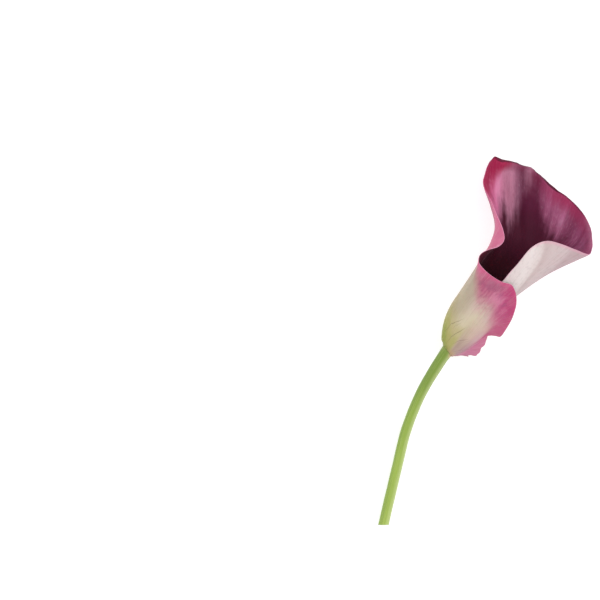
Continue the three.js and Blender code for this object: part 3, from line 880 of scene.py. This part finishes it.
# The wing's outer face along a line slanted with its fold: painted light before the fold, painted shade
# beyond it, darker towards its right edge
WING_LIGHT_AND_SHADE = [
    (-171, "#d5c7c6"), (-147, "#d9cecc"), (-138, "#d2c5c3"), (-132, "#bfadac"), (-122, "#c4b3b3"),
    (-109, "#c3b2b3"), (-101, "#b6a1a4"), (-88, "#b1989d"),
]

# Veins that wind up the foot: azimuth where each would start, degrees that it turns a mm, from and to which
# mm along it shows, and how strongly
THREADS = ((97, 3.6, 8, 19, 0.9), (120, 2.8, 12.5, 16.5, 0.45), (140, 2.9, 4, 15, 1),
           (155, 5, 5, 10.5, 0.9), (172, 4.2, 8, 12, 0.4), (200, 8, 0, 6.5, 0.7), (222, 6.2, 2, 7, 0.6))
THREAD_WANDER = 18  # degrees
THREAD_WIDTH = (0.4, 1.6)  # degrees to either side: full, and gone
THREAD_FADE = 2  # mm
THREAD_COLOURS = [(180, "#6f6748"), (205, "#6d4358")]

# The foot's colours, painted shade on the tube's left and a veil, pink of the flap and of the edge, heel and
# frill, blush and bruises, the pale wing at the right with painted light and painted shade about its fold,
# the waist under the notch, tints of the lip with painted shade near the flap's rim and a painted glow in
# from it, veins and threads
OUTER_TINTS = [
    (("azimuth", OUTER_FOOT), 0.9, {"azimuth": (174, 192), "along": (25, 13)}),
    # Painted shade on the tube's left
    ("#9b8e78", 1, {"shade": None, "along": (12, 25)}),
    ("#bc989c", 0.36, {"azimuth": (190, 216), "along": (12, 36, 6)}),
    ("#a9466f", 0.88, {"flap": None, "ragged_along": (24, 42)}),
    ("#ae4472", 0.88, {"azimuth": (186, 212), "pink_share": (1.4, 0.45)}),
    ("#8b6a70", 0.42, {"azimuth": (190, 258, 7), "along": (14, 5)}),
    (("azimuth", FRILL), 0.7, {"azimuth": (255, 266)}),
    ("#d195a8", 0.2, {"patch": (0.42, 0.68), "flap": None, "along": (8, 30)}),
    ("#8c4a6c", 0.45, {"patch": (0.52, 0.34), "flap": None, "ragged_along": (24, 42), "margin": (2, 7)}),
    # The pale wing, with painted light and painted shade about its fold
    (("wing_fold", WING_LIGHT_AND_SHADE), 1, WING),
    ("#a8979b", 0.25, {**WING, "mottle": (0.5, 0.7)}),
    ("#d793ab", 0.42, {**WING, "margin": (2.2, 0.4)}),
    ("#c96489", 0.8, {"azimuth": (80, 112, 7), "along": (54, 64)}),
    ("#cc7a96", 0.7, {"lip_margin": (8, 1), "azimuth": (96, 140, 9)}),
    ("#d04c80", 0.36, {"hot_margin": (3.4, 0.5), "azimuth": (128, 236, 10)}),
    # Painted shade near the flap's rim
    ("#8f4f6d", 0.42, {"azimuth": (157, 193, 8), "lee_margin": (1.8, 8, 1.6)}),
    ("#a63762", 0.42, {"azimuth": (203, 243, 8), "rose_margin": (10, 3)}),
    # A painted glow of light farther in from the flap's rim
    ("#da98b2", 0.3, {"azimuth": (186, 214, 8), "glow_margin": (8, 15, 3)}),
    ("#8f6b62", 0.2, {"fine": (0.53, 0.66), "mottle": (0.35, 0.6, 0.25, 1)}),
    (("azimuth", THREAD_COLOURS), 0.66, {"thread": None, "side": (0.5, 0.4)}),
    ("#e4d8d2", 0.22, {"hair": (0.52, 0.8)}),
]

# Over both faces: the base, where the sheet leaves the stem, and the rounded rim
HEEL = [(-100, "#8c9347"), (150, "#8c9347"), (200, "#b59a72"), (300, "#c49a8c")]
# The rim's colours: dark along the rolled top edge as painted shade where it turns away; pale pink
# elsewhere, partly painted highlight where the edge catches the light
RIM = [
    (-171, "#e0b4c2"), (-100, "#c98aa5"), (-60, "#832a4c"), (-35, "#4a1229"), (45, "#4a1229"),
    (70, "#b8557d"), (90, "#e093b2"), (125, "#e8a5bf"), (200, "#dd86a7"), (222, "#c4668c"),
    (300, "#d08aa3"),
]
FACES = (0.3, 0.7)  # sides between which the outer face's colour turns into the inner one's
EDGE_TINTS = [
    (("azimuth", HEEL), 0.85, {"u": (0.07, 0)}),
    (("azimuth", RIM), 0.8, {"side": (0.2, 0.8, 0.15), "u": (0.1, 0.3)}),
]
SHEET_TEXTURE = (0.38, {"broad": 0.22, "side": 0.06},
                 0.00022, 0.9, {"fine": 0.6, "hair": 0.25, "mottle": 0.35})


def read_sheet(f):
    """What the spathe's mesh says at each point, its grains, and what is worked out from them."""
    turn, f.u, f.side = f.parts("sheet")
    along, margin, vein = f.parts("reach")
    f.azimuth = f.times(turn, 360)
    f.along = f.times(along, REACH_UNIT)
    f.margin = f.times(margin, REACH_UNIT)
    f.vein = f.times(vein, REACH_UNIT)
    known = vars(f)
    for name, (crossed, across, up, layer, detail) in GRAINS.items():
        known[name] = f.noise(f.times(known[crossed], across), f.times(f.along, up), layer, detail)
    for name, (value, grain, amount) in STRAYS.items():
        known[name] = f.stray(known[value], known[grain], amount)
    for name, (value, stops) in REACHES.items():
        known[name] = f.math("DIVIDE", known[value], f.ramp(f.azimuth, stops))


def streaks(f):
    """How far the streaks and their painted sheen show: they begin farther up some veins than others."""
    ragged = f.stray(f.stray(f.along, f.grain, STREAK_WANDER), f.blotch, STREAK_WANDER)
    grown = f.math("SUBTRACT", ragged, f.ramp(f.vein, STREAKS_BEGIN))
    lit = f.times(f.span(grown, *STREAK_GROWTH), f.span(f.grain, *STREAK_BREAKS))
    dim = f.times(f.inside(f.vein, *DIM_VEINS), f.span(grown, *DIM_FADE))
    return f.times(lit, f.math("SUBTRACT", 1, dim))


def inner_face(f):
    # The streaks: partly the limb's own striping, partly painted sheen
    f.lit = streaks(f)
    f.crimson = f.ramp(f.azimuth, CRIMSON)
    show = f.times(f.ramp(f.vein, STREAK_AND_SHEEN_STRENGTHS), f.lit)
    colour = f.mix(show, f.ramp(f.here, THROAT), f.ramp(f.vein, STREAK_AND_SHEEN_COLOURS))
    return f.tinted(colour, INNER_TINTS)


def slanted(f, along, slant):
    """Azimuth in directions that slant round the sheet."""
    return f.add(f.azimuth, f.times(f.add(f.along, -along), slant))


def foot_threads(f):
    """How strongly the veins that wind up the foot show."""
    thread = 0.0
    for starts, slant, low, high, strength in THREADS:
        course = f.stray(slanted(f, 0, -slant), f.cloud, THREAD_WANDER)
        off = f.math("ABSOLUTE", f.add(course, -starts))
        line = f.span(off, *THREAD_WIDTH, strength, 0)
        line = f.times(line, f.inside(f.along, low, high, THREAD_FADE))
        thread = f.math("MAXIMUM", thread, line)
    return thread


def outer_face(f):
    f.shade = f.ramp(f.azimuth, OUTER_PAINTED_SHADE)
    f.flap = f.span(slanted(f, *FLAP_SLANT), *FLAP)
    f.wing_fold = slanted(f, *WING_SLANT)
    f.thread = foot_threads(f)
    olive = f.times(f.inside(f.azimuth, *OLIVE_LEFT), -OLIVE_MORE)
    return f.tinted(f.ramp(f.add(f.here, olive), OUTER), OUTER_TINTS)


def spathe_finish():
    f = Finish("spathe_petal", Subsurface_Weight=0.1, Subsurface_Radius=(0.003, 0.0014, 0.0017),
               Subsurface_Scale=1.0, Sheen_Weight=0.07, Sheen_Roughness=0.4, Sheen_Tint=(1.0, 0.8, 0.9, 1),
               Specular_IOR_Level=0.14, Specular_Tint=(1.0, 0.6, 0.75, 1))
    read_sheet(f)
    colour = f.mix(f.span(f.side, *FACES), outer_face(f), inner_face(f))
    return f.done(f.tinted(colour, EDGE_TINTS), *SHEET_TEXTURE)


# The stem: its skin along its length, tints of the skin with a painted highlight down its right side and
# painted shade down its left, and the pith of its cut from the middle outwards
SKIN = [
    (-108, "#9ab04c"), (-80, "#93ab45"), (-45, "#8aa340"), (-18, "#758e35"), (-4, "#70882e"),
    (4, "#8f9650"),
]
SKIN_WANDER = 24  # mm
SKIN_GRAINS = {  # lumps over half the stem's width, lumps to a mm along, detail
    "streak": (7, 0.035, 3),
    "cloud": (1.2, 0.05, 3),
}
SKIN_TINTS = [
    ("#718a38", 0.42, {"streak": (0.48, 0.66)}),
    ("#b6c671", 0.35, {"streak": (0.5, 0.25)}),
    # Painted highlight on the stem's right side, painted shade on its left
    ("#bfc98c", 0.45, {"right": (0.1, 0.85)}),
    ("#6f8f33", 0.35, {"right": (-0.2, -0.9)}),
    ("#c99a78", 0.75, {"along": (-3, 4, 1.5), "right": (0.35, 0.9)}),
]
PITH = [(0, "#dfe3bd"), (0.55, "#d6dcaa"), (0.86, "#b9c883"), (1, "#8ba24b")]
FIBRES = {"count": 24.0, "half": 0.5, "limits": (0.3, 0.12)}
PITH_TINTS = [("#a3b06a", 0.5, {"fibre": None})]
SKIN_TEXTURE = (0.28, {"streak": 0.25}, 0.00018, 0.8, {"streak": 1, "cut_fibre": -0.6})


def read_stalk(f):
    """What the stem's mesh says at each point, and its grains."""
    along, f.right, f.up = f.parts("stalk")
    f.cut, f.spread, _ = f.parts("cut")
    f.along = f.times(along, REACH_UNIT)
    for name, (round_it, up, detail) in SKIN_GRAINS.items():
        x, y = f.times(f.right, round_it), f.times(f.up, round_it)
        vars(f)[name] = f.noise(x, y, f.times(f.along, up), detail)
    x, y = [f.times(way, f.spread, FIBRES["half"]) for way in (f.right, f.up)]
    point = f.node("CombineXYZ", X=x, Y=y).outputs[0]
    cells = f.node("TexVoronoi", Vector=point, Scale=FIBRES["count"])
    f.fibre = f.mask(cells.outputs["Distance"], FIBRES["limits"])
    f.cut_fibre = f.times(f.fibre, f.cut)


def stem_finish():
    f = Finish("stem_skin", Subsurface_Weight=0.1, Subsurface_Radius=(0.002, 0.003, 0.001),
               Subsurface_Scale=1.0, Specular_IOR_Level=0.42)
    read_stalk(f)
    skin = f.tinted(f.ramp(f.stray(f.along, f.cloud, SKIN_WANDER), SKIN), SKIN_TINTS)
    pith = f.tinted(f.ramp(f.spread, PITH), PITH_TINTS)
    return f.done(f.mix(f.cut, skin, pith), *SKIN_TEXTURE)


# The spadix: its florets' bodies and crowns from its foot to its tip, and tints of them
FLORET_BODY = [(0, "#8d9c4a"), (0.28, "#a8a94f"), (0.37, "#d6a637"), (0.8, "#e2ac35"), (1, "#d59a2c")]
FLORET_CROWN = [(0, "#c9cf8e"), (0.3, "#d2cd83"), (0.38, "#f0cd66"), (1, "#f3cb60")]
FLORET_TINTS = [
    (("share", FLORET_CROWN), 1, {"crown": (0.35, 1)}),
    ("#7d5d1d", 1, {"crown": (0.3, 0)}),
    ("#fae7a6", 0.35, {"speck": (0.45, 0.7)}),
    ("#b67f22", 0.18, {"own": None}),
]
FLORET_TEXTURE = (0.6, {"speck": 0.2}, 0.00008, 0.8, {"speck": 1})


def spadix_finish():
    f = Finish("spadix_pollen", Subsurface_Weight=0.15, Subsurface_Radius=(0.001, 0.0006, 0.0002),
               Subsurface_Scale=1.0, Sheen_Weight=0.15, Sheen_Roughness=0.6, Specular_IOR_Level=0.25)
    f.share, f.crown, number = f.parts("floret")
    f.speck = f.node("TexNoise", Scale=2600.0, Detail=2.0).outputs["Fac"]
    f.own = f.math("FRACT", number)
    return f.done(f.tinted(f.ramp(f.share, FLORET_BODY), FLORET_TINTS), *FLORET_TEXTURE)


FLOOR_COLOURS = ("#dcdcdc", "#dadada")
FLOOR_GLOW = 0.48


def floor_finish():
    f = Finish("pale_floor", Specular_IOR_Level=0.1, Roughness=0.9)
    grain = f.node("TexNoise", Scale=3.0, Detail=2.0).outputs["Fac"]
    f.set(f.shader.inputs["Base Color"], f.mix(grain, *FLOOR_COLOURS))
    f.shader.inputs["Emission Color"].default_value = (1, 1, 1, 1)
    f.shader.inputs["Emission Strength"].default_value = FLOOR_GLOW
    return f.material


# The flower
for made, node, slot, finish in ((build_spathe(), "spathe", "spathe", spathe_finish()),
                                 (build_stem(), "stem", "stem", stem_finish()),
                                 (build_spadix(), "spadix", "spadix", spadix_finish())):
    made.data.materials.append(finish)
    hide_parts(node)
    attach(made, "root")

# The floor, the camera and the light
FLOOR_HALF = 4000  # mm
VIEW_CENTRE = (-0.1075, 0.0234)
VIEW_WIDTH = 0.348
VIEW_HEIGHT = 0.012  # above the floor, where the frame is that wide
LENS = 400
SENSOR = 36
LIGHTS = (("key", (1.7, 0.5, 2.2), 1.8, 26), ("fill", (-2, 0.6, 2.2), 2.4, 14))  # place, size, power
SKY_STRENGTH = 0.9

scene = bpy.context.scene
corners = [(x * FLOOR_HALF, y * FLOOR_HALF, 0) for x, y in ((-1, -1), (1, -1), (1, 1), (-1, 1))]
floor = make_mesh("floor", corners, [(0, 1, 2, 3)])
floor.data.materials.append(floor_finish())

lens = bpy.data.cameras.new("camera")
lens.lens = LENS
lens.sensor_width = SENSOR
lens.clip_end = 50
scene.camera = bpy.data.objects.new("camera", lens)
scene.camera.location = (*VIEW_CENTRE, VIEW_HEIGHT + VIEW_WIDTH * LENS / SENSOR)
scene.collection.objects.link(scene.camera)

# Square lights that face the flower
for name, spot, size, power in LIGHTS:
    data = bpy.data.lights.new(name, "AREA")
    data.size = size
    data.energy = power
    light = bpy.data.objects.new(name, data)
    light.location = spot
    light.rotation_euler = (-light.location).to_track_quat("-Z", "Y").to_euler()
    light.visible_camera = False
    scene.collection.objects.link(light)

world = bpy.data.worlds.new("studio")
world.use_nodes = True
world.node_tree.nodes["Background"].inputs["Color"].default_value = (1, 1, 1, 1)
world.node_tree.nodes["Background"].inputs["Strength"].default_value = SKY_STRENGTH
scene.world = world
scene.view_settings.view_transform = "Standard"
